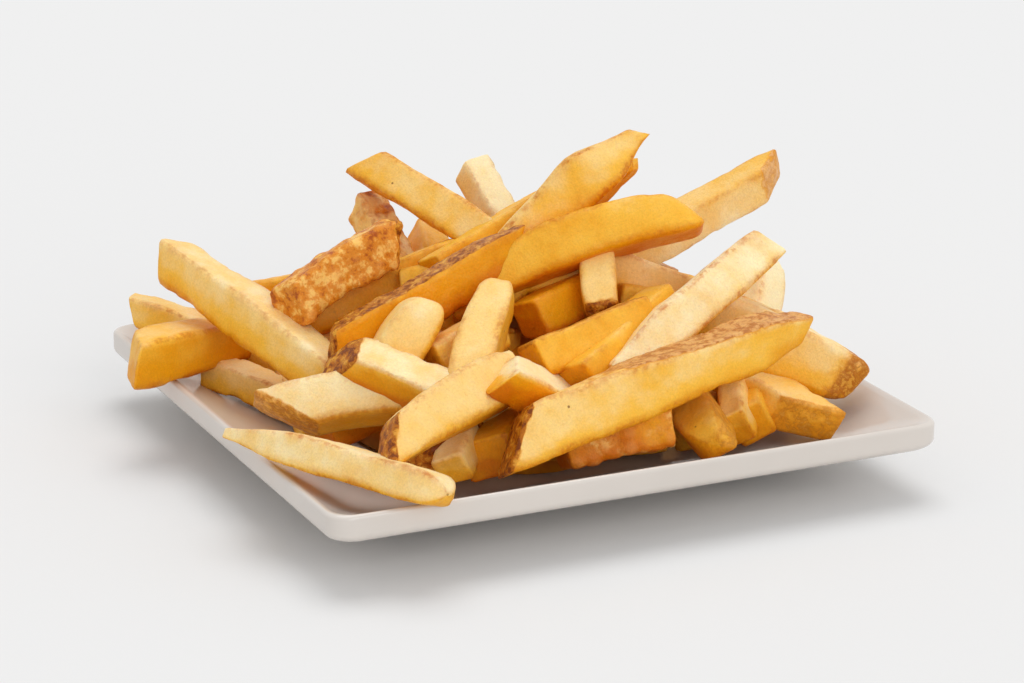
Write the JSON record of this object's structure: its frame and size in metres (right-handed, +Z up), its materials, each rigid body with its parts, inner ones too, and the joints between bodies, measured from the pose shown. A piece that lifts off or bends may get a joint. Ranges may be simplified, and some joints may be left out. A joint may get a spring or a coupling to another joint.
{
  "type": "french fries portion on a plate",
  "caption": "A heap of thick skin-on french fries lying across a square white coupe plate on a flat foot.",
  "frame": {"origin": "middle of the plate's flat foot, on the surface that it stands on", "axes": "+Z up; X and Y along the sides of the square plate, with the long front fry near the -Y side"},
  "size_m": [0.1821, 0.1747, 0.0862],
  "materials": {
    "white_glaze": "glossy white porcelain glaze",
    "fried_potato": "fried potato, satin with a thin film of oil and patches of brown skin"
  },
  "bodies": {
    "root": {"plate": "white_glaze", "fries": "fried_potato"}
  },
  "joints": []
}
